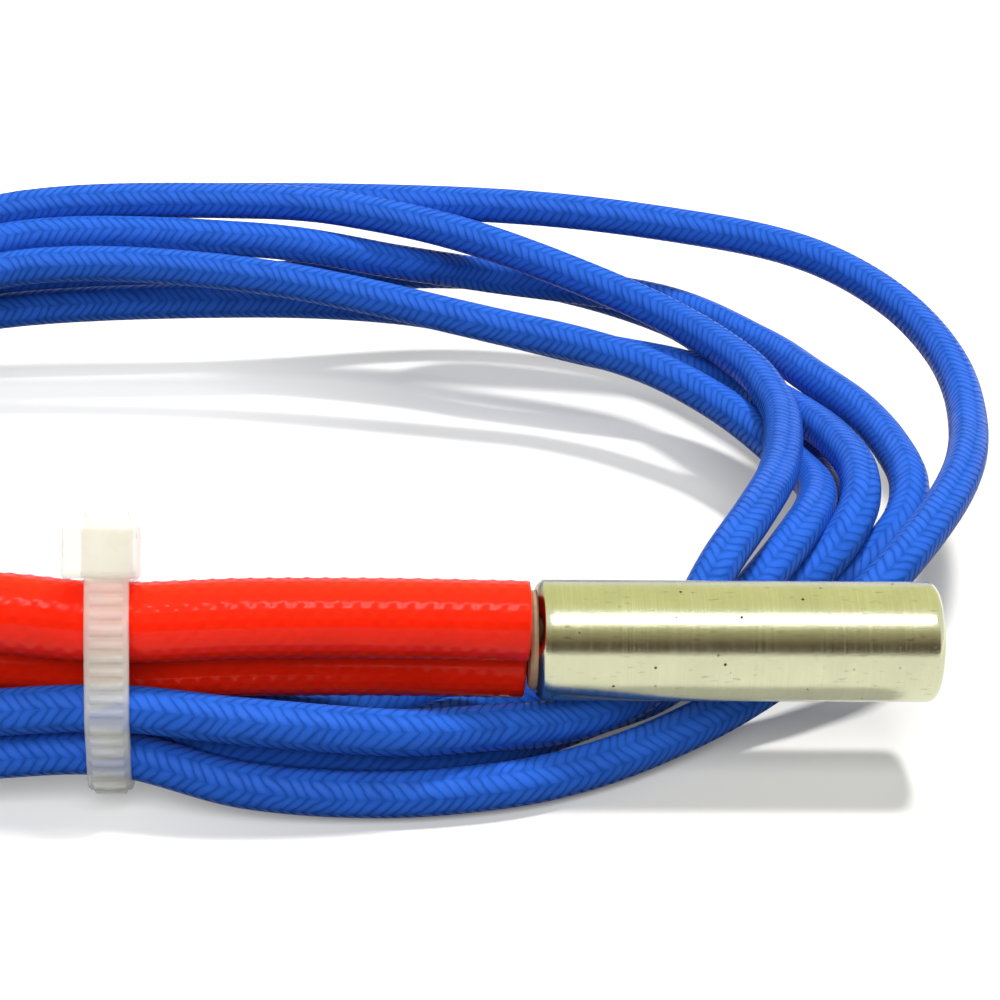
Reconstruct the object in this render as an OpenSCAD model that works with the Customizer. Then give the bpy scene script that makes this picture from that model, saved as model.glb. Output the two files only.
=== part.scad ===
// Cartridge heater with two sleeved leads, coiled and held by a cable tie.
// The barrel lies along X, with its full diameter starting at the origin and its closed tip at +X.
// The leads leave it towards -X and lie in an oval coil on a flat surface below.

/* [Barrel] */
// Outer diameter of the barrel
barrel_d = 6; // [5.4:0.1:8]
// Length of the barrel over both ends
barrel_l = 20; // [16:0.5:40]
// Wall of the steel sheath
sheath_wall = 0.5; // [0.3:0.05:0.6]
// Chamfer on the rim at the lead end
lead_chamfer = 0.3; // [0.1:0.05:0.4]
// Thickness of the welded disc that closes the tip
end_disc_t = 1; // [0.6:0.1:2]

/* [Heating element] */
// Thickness of the insulation between the winding and the sheath
fill_t = 0.53; // [0.4:0.01:0.6]
// Diameter of the resistance wire
wire_d = 0.36; // [0.2:0.02:0.4]
// Pitch of the winding
winding_pitch = 0.9; // [0.7:0.05:1.6]
// Thickness of the ceramic disc between the core and the tip
tip_spacer_t = 0.8; // [0.5:0.1:1.5]
// Diameter of the terminal pins
pin_d = 0.8; // [0.6:0.05:0.9]
// Ceramic left between a pin and the core's surface
pin_cover = 0.2; // [0.15:0.01:0.3]
// Depth of the end seal inside the sheath
seal_depth = 2; // [1.5:0.1:3]
// How far the end seal stands out of the rim
seal_proud = 0.35; // [0.1:0.05:0.4]

/* [Leads] */
// Outer diameter of a braided lead
lead_d = 2.3; // [1.8:0.05:2.4]
// Diameter of a lead's stranded conductor
conductor_d = 0.9; // [0.6:0.05:1]
// Outer diameter of a crimp barrel
crimp_d = 1.9; // [1.6:0.05:2]
// Length of a crimp barrel
crimp_l = 6; // [5:0.1:6.4]
// Tinned length at a lead's free end
tinned_l = 6; // [3:0.5:8]

/* [Sleeves] */
// Outer diameter of a sleeve
sleeve_d = 4; // [3.8:0.05:4]
// Wall of a sleeve
sleeve_wall = 0.4; // [0.3:0.05:0.4]

/* [Cable tie] */
// Width of the strap
strap_w = 2.1; // [1.6:0.1:3]
// Thickness of the strap without its ribs
strap_t = 0.75; // [0.5:0.05:0.8]
// Height of the ribs across the strap
rib_h = 0.18; // [0.1:0.02:0.2]
// Distance from rib to rib
rib_pitch = 0.65; // [0.5:0.05:1.2]
// Width of the head
head_w = 3.5; // [3.2:0.1:5]
// Height of the head, along the strap that passes through it
head_h = 2.6; // [2:0.1:4]
// Depth of the head, from front to back
head_depth = 3.4; // [3:0.1:5]
// Length of the trimmed strap end above the head
stub_l = 0.6; // [0.2:0.1:3]

/* [Hidden] */
$fn = 64;

// Clearance between pieces that slide together
slide = 0.03;
// Extra length that lets a cut pass right through
over = 0.2;

// Places along the barrel
sheath_id = barrel_d - 2 * sheath_wall;
mouth_x = -lead_chamfer;
tip_x = mouth_x + barrel_l;
disc_x = tip_x - end_disc_t;
spacer_x = disc_x - tip_spacer_t;
core_x = mouth_x + seal_depth;

// The two leads lie one in front of and above the other, so what they join is turned by this angle
lead_turn = 127;

// Core inside the winding and the insulation, with the pins inside the core
wire_gap = 0.04;
core_d = sheath_id - 2 * (slide + fill_t + 2 * wire_gap + wire_d);
pin_spacing = core_d - pin_d - 2 * slide - 2 * pin_cover;

// Winding on the core
wire_steps = 16;
wire_sides = 6;
winding_r = core_d / 2 + wire_d / 2 + wire_gap;
winding_margin = 1.2;
winding_start = core_x + winding_margin;
winding_l = spacer_x - winding_margin - winding_start;
winding_turns = floor(winding_l / winding_pitch) + 0.5;
winding_end = winding_start + winding_turns * winding_pitch;
wire_seat = pin_spacing / 2 + pin_d / 2 + wire_gap;
wire_slot_w = wire_d + 0.3;

// Pins, crimps and conductors outside the barrel
sleeve_gap = 0.2;
sleeve_spread = (sleeve_d + sleeve_gap) / 2;
seal_face = mouth_x - seal_proud;
sleeve_start = -0.8;
pin_bend_x = seal_face + 0.1;
pin_ease = 0.3;
pin_sides = 12;
crimp_start = sleeve_start - 2;
crimp_end = crimp_start - crimp_l;
crimp_mid = (crimp_start + crimp_end) / 2;
crimp_bore = max(pin_d, conductor_d) + 0.06;
lead_start = -9.8;
lead_gap = 0.1;

// Route midway between the two sleeves, and where the leads start on it: [x, y, z]
pair_route = [[sleeve_start, 0, 0], [-7.5, -0.2, 0.2], [-14.5, -0.7, 0.4], [-21, -0.8, 0.2],
    [-26.5, -0.8, 0.7], [-34, -0.8, 1.2], [-42.5, -0.8, 1.2]];
pair_start = [lead_start, -0.3, 0.2];
pair_side = sleeve_spread * [0, cos(lead_turn), sin(lead_turn)];
sleeve_front_route = [for (place = pair_route) place + pair_side];
sleeve_rear_route = [for (place = pair_route) place - pair_side];

// Routes of the leads from their crimps, through the sleeves, to the top of the coil
run_pair = concat([pair_start], [for (i = [2 : len(pair_route) - 1]) pair_route[i]]);
run_front_route = concat([for (place = run_pair) place + pair_side],
    [[-50, -2, 2.2], [-58, -1.8, 1], [-66, -1, -0.2], [-74, 1, -0.8], [-82, 5.5, -0.8], [-87, 12, -0.8]]);
run_rear_route = concat([for (place = run_pair) place - pair_side],
    [[-50, 1.2, -0.9], [-58, 1.8, -0.9], [-66, 2.6, -0.9], [-74, 5, -0.8], [-80, 9, -0.8], [-84, 14, -0.8]]);

// Routes of the free ends, which lie inside the coil on the surface
tail_front_route = [[-86.2, 22.6, -5.8], [-83.2, 26, -5.8], [-79, 27, -5.8], [-73, 26.2, -5.8],
    [-66, 25, -5.8], [-58, 25, -5.8], [-52, 25.5, -5.8]];
tail_rear_route = [[-79.7, 9.8, -5.8], [-81.2, 14.4, -5.8], [-79, 18.2, -5.8], [-74.5, 19.4, -5.8],
    [-68, 18.6, -5.8], [-60, 17, -5.8], [-52, 16.5, -5.8], [-42, 17, -5.8]];

// Centre line of the coil: [x, y, z, half width, half height]. In the tie it lies under the rear sleeve
coil_tied_h = 1.15;
coil_tied_z = sleeve_rear_route[3].z - sleeve_d / 2 - 0.1 - coil_tied_h;
coil_route = [[-24.5, -0.4, coil_tied_z, 3, coil_tied_h], [-18.5, -0.4, coil_tied_z, 3, coil_tied_h],
    [-12.5, -2.4, -5.2, 3.4, 1.5], [-4.5, -3, -5.4, 4, 1.6],
    [2.5, -0.5, -5.4, 5, 1.6], [8.5, 3.5, -5.4, 5.5, 1.6], [13.5, 8.5, -4.2, 5, 2],
    [18, 14, -2.2, 5, 2.6], [21, 22, -0.3, 6, 2.6], [20, 31, 0.5, 6, 2.8], [15, 40, 1.5, 5.5, 3.2],
    [6.5, 46, 2.5, 5.5, 3.6], [-4.5, 48.5, 3, 5.5, 3.6], [-18.5, 49, 2.6, 5.5, 3.6],
    [-34, 48, 0, 5, 3.4], [-50, 46.5, -3.5, 4.5, 3.5], [-66, 45, -4, 4.2, 3], [-80, 39, -4.1, 4.2, 2.9],
    [-88, 31, -4.2, 4, 2.8], [-92, 21, -4.4, 4, 2.6], [-88, 11, -4.5, 4, 2.5], [-79, 3, -4.6, 3.8, 2.4],
    [-66, -1.5, -4.7, 3.6, 2.3], [-50, -2.2, -4.8, 3.5, 2.2], [-36, -1.8, -4.8, 3.2, 1.7]];
coil_steps = 2;
coil_sides = 12;
tube_sides = 8;
sleeve_sides = 20;

// Cable tie: the strap wraps the sleeves and the lead strands, seen along X: [y, z, radius]
tie_x = pair_route[3].x;
tie_slack = 0.15;
// Strands of the leads around the rear sleeve, from front to back: [angle, distance from the sleeve]
strand_fan = [[-178, 2.5], [-144, 2.9], [-115, 1.8], [-80, 1.45], [-40, 1.35], [5, 1.2]];
strand_places = [for (p = strand_fan)
    [sleeve_rear_route[3].y, sleeve_rear_route[3].z] + (sleeve_d / 2 + p[1]) * [cos(p[0]), sin(p[0])]];
tie_circles = concat(
    [for (route = [sleeve_front_route, sleeve_rear_route])
        [route[3].y, route[3].z, sleeve_d / 2 + tie_slack]],
    [for (place = strand_places) [place[0], place[1], lead_d / 2]]);
// Angles, seen along X, at which the strap leaves the head and comes back up to it
strap_from = 65;
strap_to = -205;
strap_step = 5;
head_wall = 0.6;
head_shift = -0.3;
slot_gap = 0.12;
head_round = 0.35;

STEEL = [0.78, 0.77, 0.68];
CERAMIC = [0.92, 0.9, 0.84];
SEAL = [0.82, 0.74, 0.55];
NICKEL = [0.75, 0.74, 0.7];
RED = [0.93, 0.16, 0.08];
BLUE = [0.13, 0.32, 0.75];
NYLON = [0.93, 0.94, 0.9];

// Sweep helpers

// Point on a smooth curve through four neighbours, at share t of the way from b to c
function smooth(a, b, c, d, t) =
    0.5 * (2 * b + (c - a) * t + (2 * a - 5 * b + 4 * c - d) * t ^ 2 + (3 * b - a - 3 * c + d) * t ^ 3);

// Closed route with extra points between its stations
function closed_curve(route, steps) =
    let (n = len(route))
    [for (i = [0 : n - 1], s = [0 : steps - 1])
        smooth(route[(i + n - 1) % n], route[i], route[(i + 1) % n], route[(i + 2) % n], s / steps)];

// Open route with extra points between its stations
function open_curve(route, steps) =
    let (n = len(route))
    concat(
        [for (i = [0 : n - 2], s = [0 : steps - 1])
            smooth(route[max(i - 1, 0)], route[i], route[i + 1], route[min(i + 2, n - 1)], s / steps)],
        [route[n - 1]]);

function unit(v) = v / norm(v);
function place_of(station) = [station[0], station[1], station[2]];

// Direction of an open route at point i
function heading(route, i) = unit(route[min(i + 1, len(route) - 1)] - route[max(i - 1, 0)]);

// Ring of points around a place, across a heading
function ring(place, along, half_w, half_h, sides, up = [0, 0, 1]) =
    let (side = unit(cross(along, up)), top = cross(side, along))
    [for (k = [0 : sides - 1])
        place + side * half_w * cos(360 * k / sides) + top * half_h * sin(360 * k / sides)];

// Faces between two rings of the same number of points
function band(first, second, sides) =
    [for (k = [0 : sides - 1]) each
        let (n = (k + 1) % sides)
        [[first + k, second + k, first + n], [second + k, second + n, first + n]]];

// Solid swept along an open route, with a round section
module tube(route, d, sides, up = [0, 0, 1]) {
    n = len(route);
    points = [for (i = [0 : n - 1]) each ring(route[i], heading(route, i), d / 2, d / 2, sides, up)];
    start = [[for (k = [0 : sides - 1]) k]];
    finish = [[for (k = [sides - 1 : -1 : 0]) (n - 1) * sides + k]];
    walls = [for (i = [0 : n - 2]) each band(i * sides, (i + 1) * sides, sides)];
    polyhedron(points, concat(start, walls, finish));
}

// Hollow tube swept along an open route
module pipe(route, d, wall, sides) {
    n = len(route);
    size = n * sides;
    inner_d = d - 2 * wall;
    points = [for (width = [d, inner_d], i = [0 : n - 1])
        each ring(route[i], heading(route, i), width / 2, width / 2, sides)];
    outside = [for (i = [0 : n - 2]) each band(i * sides, (i + 1) * sides, sides)];
    inside = [for (i = [0 : n - 2]) each band(size + (i + 1) * sides, size + i * sides, sides)];
    mouths = concat(band(size, 0, sides), band((n - 1) * sides, size + (n - 1) * sides, sides));
    polyhedron(points, concat(outside, inside, mouths));
}

// Closed ring swept along the stations of a coil
module loop(stations, sides) {
    n = len(stations);
    points = [for (i = [0 : n - 1]) each
        let (flat = stations[(i + 1) % n] - stations[(i + n - 1) % n])
        ring(place_of(stations[i]), unit([flat[0], flat[1], 0]), stations[i][3], stations[i][4], sides)];
    walls = [for (i = [0 : n - 1]) each band(i * sides, ((i + 1) % n) * sides, sides)];
    polyhedron(points, walls);
}

// Turns a profile drawn as [radius, x] about the barrel's axis
module turned(profile) {
    rotate([0, 90, 0])
        rotate_extrude()
            polygon(profile);
}

// Cylinder along X
module rod(from_x, to_x, d) {
    translate([from_x, 0, 0])
        rotate([0, 90, 0])
            cylinder(d = d, h = to_x - from_x);
}

// Front and rear pieces are the same, half a turn apart about the barrel's axis
module at_front() {
    rotate([lead_turn, 0, 0])
        children();
}

module at_rear() {
    rotate([lead_turn + 180, 0, 0])
        children();
}

// Barrel

module sheath() {
    r = barrel_d / 2;
    bore = sheath_id / 2;
    edge = sheath_wall;
    rounded = [for (a = [0 : 15 : 90]) [r - edge + edge * cos(a), tip_x - edge + edge * sin(a)]];
    color(STEEL)
        turned(concat([[bore, mouth_x], [r - lead_chamfer, mouth_x], [r, 0]], rounded));
}

module end_disc() {
    color(STEEL)
        rod(disc_x, tip_x, sheath_id);
}

module end_seal() {
    lip = 0.15;
    r = sheath_id / 2 - slide;
    color(SEAL)
        difference() {
            turned([[0, seal_face], [r - lip, seal_face], [r, seal_face + lip], [r, core_x], [0, core_x]]);
            for (side = [-1, 1])
                rotate([lead_turn, 0, 0])
                    translate([0, side * pin_spacing / 2, 0])
                        rod(seal_face - over, core_x + over, pin_d + 2 * slide);
        }
}

// Heating element

module tip_spacer() {
    color(CERAMIC)
        rod(spacer_x, disc_x, sheath_id - 2 * slide);
}

module ceramic_core() {
    color(CERAMIC)
        rotate([lead_turn, 0, 0])
            difference() {
                rod(core_x, spacer_x, core_d);
                for (side = [-1, 1])
                    translate([0, side * pin_spacing / 2, 0])
                        rod(core_x - over, spacer_x + over, pin_d + 2 * slide);
                wire_slot(winding_start, 1);
                wire_slot(winding_end, -1);
            }
}

// Slot from the core's surface to a pin, where an end of the winding goes in
module wire_slot(x, side) {
    translate([x - wire_slot_w / 2, side > 0 ? pin_spacing / 2 : -core_d, -wire_slot_w / 2])
        cube([wire_slot_w, core_d - pin_spacing / 2, wire_slot_w]);
}

module heating_coil() {
    count = winding_turns * wire_steps;
    turns = [for (i = [0 : count])
        [winding_start + winding_pitch * i / wire_steps, winding_r * cos(360 * i / wire_steps),
            winding_r * sin(360 * i / wire_steps)]];
    route = concat([[winding_start, wire_seat, 0]], turns, [[winding_end, -wire_seat, 0]]);
    color(NICKEL)
        rotate([lead_turn, 0, 0])
            tube(route, wire_d, wire_sides, [1, 0, 0]);
}

module insulation_fill() {
    inner_r = winding_r + wire_d / 2 + wire_gap;
    color(CERAMIC)
        turned([[inner_r, core_x], [sheath_id / 2 - slide, core_x], [sheath_id / 2 - slide, spacer_x],
            [inner_r, spacer_x]]);
}

// Pin from inside the core, out through the seal and into its crimp
module terminal_pin(inner_x) {
    color(NICKEL)
        tube([[inner_x, pin_spacing / 2, 0], [pin_bend_x, pin_spacing / 2, 0],
            [pin_bend_x - pin_ease, pin_spacing / 2 + pin_ease / 4, 0],
            [crimp_start + pin_ease, sleeve_spread - pin_ease / 4, 0], [crimp_start, sleeve_spread, 0],
            [crimp_mid + slide, sleeve_spread, 0]], pin_d, pin_sides);
}

module terminal_pin_front() {
    at_front() terminal_pin(winding_start + wire_slot_w);
}

module terminal_pin_rear() {
    at_rear() terminal_pin(spacer_x);
}

// Leads

module crimp() {
    dent_w = 1.1;
    dent_depth = 0.22;
    dents = [crimp_start - crimp_l / 4, crimp_end + crimp_l / 4];
    color(NICKEL)
        translate([0, sleeve_spread, 0])
            difference() {
                rod(crimp_end, crimp_start, crimp_d);
                rod(crimp_end - over, crimp_start + over, crimp_bore);
                for (x = dents)
                    translate([x - dent_w / 2, -crimp_d / 2, crimp_d / 2 - dent_depth])
                        cube([dent_w, crimp_d, crimp_d]);
            }
}

module crimp_front() {
    at_front() crimp();
}

module crimp_rear() {
    at_rear() crimp();
}

module conductor() {
    color(NICKEL)
        translate([0, sleeve_spread, 0])
            rod(lead_start + lead_gap, crimp_mid - slide, conductor_d);
}

module conductor_front() {
    at_front() conductor();
}

module conductor_rear() {
    at_rear() conductor();
}

module sleeve_front() {
    color(RED)
        pipe(open_curve(sleeve_front_route, 2), sleeve_d, sleeve_wall, sleeve_sides);
}

module sleeve_rear() {
    color(RED)
        pipe(open_curve(sleeve_rear_route, 2), sleeve_d, sleeve_wall, sleeve_sides);
}

module lead_run_front() {
    color(BLUE)
        tube(open_curve(run_front_route, 1), lead_d, tube_sides);
}

module lead_run_rear() {
    color(BLUE)
        tube(open_curve(run_rear_route, 1), lead_d, tube_sides);
}

module lead_coil() {
    color(BLUE)
        loop(closed_curve(coil_route, coil_steps), coil_sides);
}

module lead_tail_front() {
    color(BLUE)
        tube(open_curve(tail_front_route, 1), lead_d, tube_sides);
}

module lead_tail_rear() {
    color(BLUE)
        tube(open_curve(tail_rear_route, 1), lead_d, tube_sides);
}

// Tinned conductor that sticks out of the end of a tail
module tinned_end(route) {
    last = route[len(route) - 1];
    along = heading(route, len(route) - 1);
    color(NICKEL)
        translate(last)
            rotate([0, 90, atan2(along.y, along.x)])
                cylinder(d = conductor_d, h = tinned_l);
}

module tinned_end_front() {
    tinned_end(tail_front_route);
}

module tinned_end_rear() {
    tinned_end(tail_rear_route);
}

// Cable tie

function facing(a) = [cos(a), sin(a)];

// Circle of the bundle that lies furthest out in direction a
function outermost(a) =
    let (reach = [for (c = tie_circles) c[0] * cos(a) + c[1] * sin(a) + c[2]])
    tie_circles[search(max(reach), reach)[0]];

// Point of the strap that faces direction a, at a distance out from the bundle
function strap_point(a, out) =
    let (c = outermost(a))
    [c[0], c[1]] + (c[2] + out) * facing(a);

// The strap goes back over the sleeves, under the strands, up the front and straight on through the head
strap_angles = [for (a = [strap_from : -strap_step : strap_to]) a];
strap_rise = [facing(strap_to).y, -facing(strap_to).x];
head_foot = tie_circles[0][2];
strap_rise_l = head_foot + head_h + stub_l;

function strap_line(out) =
    concat([for (a = strap_angles) strap_point(a, out)],
        [strap_point(strap_to, out) + strap_rise * strap_rise_l]);

// Distances along a line of points, from its start
function run_lengths(line) =
    [for (i = 0, s = 0; i < len(line); s = i + 1 < len(line) ? s + norm(line[i + 1] - line[i]) : s, i = i + 1) s];

// Draws a [y, z] outline as a solid across the strap, centred on the tie
module across(width) {
    translate([tie_x - width / 2, 0, 0])
        rotate([90, 0, 90])
            linear_extrude(width)
                children();
}

module strap() {
    inner = strap_line(0);
    outer = strap_line(strap_t);
    n = len(inner);
    across(strap_w)
        polygon(concat(inner, [for (i = [n - 1 : -1 : 0]) outer[i]]));
}

// Ribs across the outside of the strap, at equal distances along it
module ribs() {
    rib_w = rib_pitch * 0.45;
    rib_root = 0.1;
    margin = 0.25;
    line = strap_line(strap_t);
    lengths = run_lengths(line);
    free_l = lengths[len(lengths) - 1] - strap_rise_l + head_foot;
    count = floor(free_l / rib_pitch) - 1;
    ys = [for (i = [0 : len(line) - 1]) [lengths[i], line[i].x]];
    zs = [for (i = [0 : len(line) - 1]) [lengths[i], line[i].y]];
    for (k = [1 : count]) {
        s = k * rib_pitch;
        place = [lookup(s, ys), lookup(s, zs)];
        ahead = [lookup(s + rib_w / 2, ys), lookup(s + rib_w / 2, zs)];
        back = [lookup(s - rib_w / 2, ys), lookup(s - rib_w / 2, zs)];
        along = ahead - back;
        across(strap_w - 2 * margin)
            translate(place)
                rotate(atan2(along.y, along.x))
                    translate([-rib_w / 2, -rib_root])
                        square([rib_w, rib_root + rib_h]);
    }
}

// Head with a slot for the strap, standing on the front sleeve behind the strap
module head() {
    foot = strap_point(strap_to, 0) + strap_rise * head_foot;
    turn = atan2(strap_rise.y, strap_rise.x) - 90;
    front = -strap_t - slot_gap - head_wall;
    slot_w = strap_w + 2 * slot_gap;
    slot_d = strap_t + 2 * slot_gap;
    difference() {
        translate([head_shift, 0, 0])
            across(head_w)
                translate(foot)
                    rotate(turn)
                        translate([front, 0])
                            head_outline();
        across(slot_w)
            translate(foot)
                rotate(turn)
                    translate([-strap_t - slot_gap, -over])
                        square([slot_d, head_h + 2 * over]);
    }
}

// Side view of the head, with its upper corners cut
module head_outline() {
    polygon([[0, head_round], [head_round, 0], [head_depth, 0], [head_depth, head_h - 2 * head_round],
        [head_depth - 2 * head_round, head_h], [head_round, head_h], [0, head_h - head_round]]);
}

// Catch inside the slot that holds the strap's end
module pawl() {
    foot = strap_point(strap_to, 0) + strap_rise * head_foot;
    turn = atan2(strap_rise.y, strap_rise.x) - 90;
    catch_h = head_h / 3;
    across(strap_w - 4 * slot_gap)
        translate(foot)
            rotate(turn)
                polygon([[-over / 2, catch_h], [slot_gap + over, catch_h - slot_gap], [slot_gap + over, 2 * catch_h]]);
}

module cable_tie() {
    color(NYLON)
        union() {
            strap();
            ribs();
            head();
            pawl();
        }
}

sheath();
end_disc();
tip_spacer();
ceramic_core();
heating_coil();
insulation_fill();
terminal_pin_front();
terminal_pin_rear();
end_seal();
crimp_front();
crimp_rear();
conductor_front();
conductor_rear();
sleeve_front();
sleeve_rear();
lead_run_front();
lead_run_rear();
lead_coil();
lead_tail_front();
lead_tail_rear();
tinned_end_front();
tinned_end_rear();
cable_tie();
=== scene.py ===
"""Looks of a cartridge heater: a steel barrel, two sleeved leads in a loose coil, and a cable tie.

Everything is in metres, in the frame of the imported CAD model. The barrel lies along X with its closed
tip at +X, and the part lies on a surface below it.
"""

import math

import bmesh
import bpy
from mathutils import Matrix, Vector


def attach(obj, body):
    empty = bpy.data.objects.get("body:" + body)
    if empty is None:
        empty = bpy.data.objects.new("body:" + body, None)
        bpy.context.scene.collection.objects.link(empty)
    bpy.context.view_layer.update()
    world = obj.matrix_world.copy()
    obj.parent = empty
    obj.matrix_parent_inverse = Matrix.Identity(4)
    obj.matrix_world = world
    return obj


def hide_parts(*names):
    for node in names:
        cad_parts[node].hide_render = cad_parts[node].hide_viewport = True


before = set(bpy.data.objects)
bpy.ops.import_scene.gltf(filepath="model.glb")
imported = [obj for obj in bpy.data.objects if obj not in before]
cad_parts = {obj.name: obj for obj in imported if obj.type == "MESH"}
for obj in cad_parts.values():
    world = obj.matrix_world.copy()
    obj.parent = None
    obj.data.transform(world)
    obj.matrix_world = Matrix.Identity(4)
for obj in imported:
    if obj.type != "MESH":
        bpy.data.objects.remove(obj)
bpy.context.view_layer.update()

bl_info = {
    "name": "Cartridge heater",
    "version": (1, 0, 0),
    "blender": (4, 5, 0),
    "location": "View3D > Sidebar > Heater",
    "description": "Builds the barrel, leads, sleeves and cable tie of a cartridge heater",
    "category": "Add Mesh",
}

MM = 0.001

# Places shared by several pieces, in millimetres
FLOOR_Z = -7.0
MOUTH_X = -0.3
LEAD_TURN = 127.0
SLEEVE_SPREAD = 2.1
TIE_X = -21.0
BARREL_MIDDLE_X = 9.7

# Route midway between the two sleeves
PAIR_ROUTE = [(-0.8, 0, 0), (-7.5, -0.2, 0.2), (-14.5, -0.7, 0.4), (-21, -0.8, 0.2), (-26.5, -0.8, 0.7),
              (-34, -0.8, 1.2), (-42.5, -0.8, 1.2)]
PAIR_START = (-9.8, -0.3, 0.2)

# Leads beyond the sleeves, down to the coil
RUN_FRONT = [(-50, -2, 2.2), (-58, -1.8, 1), (-66, -1, -0.2), (-74, 1, -0.8), (-82, 5.5, -0.8),
             (-87, 12, -0.8)]
RUN_REAR = [(-50, 1.2, -0.9), (-58, 1.8, -0.9), (-66, 2.6, -0.9), (-74, 5, -0.8), (-80, 9, -0.8),
            (-84, 14, -0.8)]

# Free ends of the leads, inside the coil on the surface
TAIL_FRONT = [(-86.6, 18.5, -5.7), (-86.2, 22.6, -5.75), (-83.2, 26, -5.8), (-79, 27, -5.8),
              (-73, 26.2, -5.8), (-66, 25, -5.8), (-58, 25, -5.8), (-52, 25.5, -5.8)]
TAIL_REAR = [(-80, 10.4, -5.75), (-81, 14.4, -5.75), (-79.3, 17.9, -5.8), (-74.6, 19.7, -5.8),
             (-68, 18.8, -5.8), (-60, 17, -5.8), (-52, 16.5, -5.8), (-42, 17, -5.8)]

# One pass of a lead around the open end of the coil, from the back left, under the barrel, to the front left
OUTER_PASS = [(-42, 51.4, 1.6), (-31, 54.6, 4.2), (-16, 55.6, 4.6), (1, 54, 4.9), (13.3, 52, 4.2),
              (20.3, 48.5, 3.7), (24.7, 42, 3), (26.7, 34, 2.2), (26.5, 26, 1.4), (24.3, 17.5, 1.2),
              (19.8, 9.5, 0), (14.8, 5.4, -3), (10.8, 3, -4.8), (6.8, 0.4, -5.6), (2.5, -2.4, -5.8),
              (-2, -4.3, -5.8), (-8, -5.2, -5.8), (-14.5, -5, -5.4), (-21, -3.6, -4.4), (-28, -3.7, -4.6),
              (-38, -3.8, -5.2)]
INNER_PASS = [(-42, 48.6, 2.4), (-31, 52, 5), (-16, 53.1, 5.3), (-8, 52.9, 4.6), (0, 51, 3.2),
              (9.9, 46, 0.8), (14.7, 38, 0.3), (16.1, 32, 0), (15.9, 27, 0.2), (14.6, 20, 0.6),
              (12.5, 14, 0.8), (10.1, 9.3, 0), (8.3, 6.4, -1.8), (6.3, 3.6, -3.9), (3.5, 1, -4.35),
              (0.4, -0.9, -4.2), (-2.5, -2.8, -3.4), (-7.3, -4.6, -2.7), (-14.5, -5, -1.9),
              (-21, -4.1, -1.7), (-28, -4, -2.1), (-38, -3.9, -2.8)]
LOW_PASS = [(-42, 44.8, -1), (-31, 47.6, 2.4), (-16, 47.4, 2.2), (0, 44, 0.1), (5.7, 42, -0.5),
            (9.9, 39, -0.9), (13.8, 34.5, -1.7), (16.6, 28, -2.2), (17, 20.5, -1.1), (14.7, 14.4, -1.2),
            (11.1, 9.8, -3.2), (7.3, 6, -5.5), (3, 3, -5.78), (-1, 0.2, -5.78), (-5, -1.9, -5.5),
            (-9.5, -2.8, -4.8), (-14.5, -2.8, -4.4), (-21, -1.2, -4.9), (-28, -1.3, -4.9),
            (-38, -1.5, -5.2)]
MIDDLE_PASS = [(-42, 48.6, -3), (-31, 50.4, -1.4), (-16, 51.4, -1), (-6, 49.8, -0.8), (0, 47.5, -1.2),
               (6.2, 45.3, -1.9), (11.5, 43.3, -2.2), (15.9, 38.5, -1.9), (18.2, 31.5, -1),
               (19.2, 26, -0.4), (19.5, 21.5, -0.3), (18.7, 17.5, -1), (16.2, 14.6, -3), (12, 12, -5.1),
               (6.8, 9, -5.8), (2, 6.2, -5.8), (-3, 3.2, -5.8), (-8, 0.6, -5.8), (-14.5, -0.4, -5.3),
               (-21, 1, -4.9), (-28, 1.1, -4.9), (-38, 0.9, -5.2)]
WIDE_PASS = [(-42, 46.9, 0.5), (-31, 50, 3.6), (-16, 51.2, 3.3), (-6, 53, 1.2), (0, 55.4, -0.5),
             (11.1, 51.6, -0.8), (16.8, 43.8, -0.8), (19.2, 37.6, -0.6), (21.2, 32, -0.5), (22.3, 27, -0.7),
             (22.5, 21.8, -1), (21.2, 18, -2.1), (17.8, 15.9, -4.4), (12.1, 14.4, -5.8), (6.3, 11.6, -5.8),
             (1, 8.6, -5.8), (-4, 5.6, -5.8), (-9, 3.2, -5.7), (-14.5, 2, -5.1), (-21, 3, -3.7),
             (-28, 3.3, -4), (-38, 3.3, -5)]
HIDDEN_PASS = [(-42, 52, -2.4), (-31, 54, -1.2), (-16, 55.4, -0.9), (0, 57.8, -1.2), (11.8, 53.3, -2.6),
               (16.3, 45, -3.8), (18.3, 38, -4), (18.9, 31, -4), (18.7, 26, -3.6), (18.3, 21.5, -3.6),
               (16.9, 18.6, -4.6), (14.7, 17.2, -5.7), (10.8, 16.2, -5.8), (5.3, 14, -5.8), (0, 11, -5.7),
               (-5, 7.8, -5.3), (-10, 5.4, -4.3), (-14.5, 4.2, -3), (-21, 3.65, -1.2), (-28, 4.2, -1.8),
               (-38, 4.6, -2.8)]

# Centre line of the coil's other end, from front to back
BEND_ROUTE = [(-50, -2.2), (-66, -1.5), (-79, 3), (-88, 11), (-92, 21), (-88, 31), (-80, 39), (-66, 45),
              (-50, 46.5)]

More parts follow.
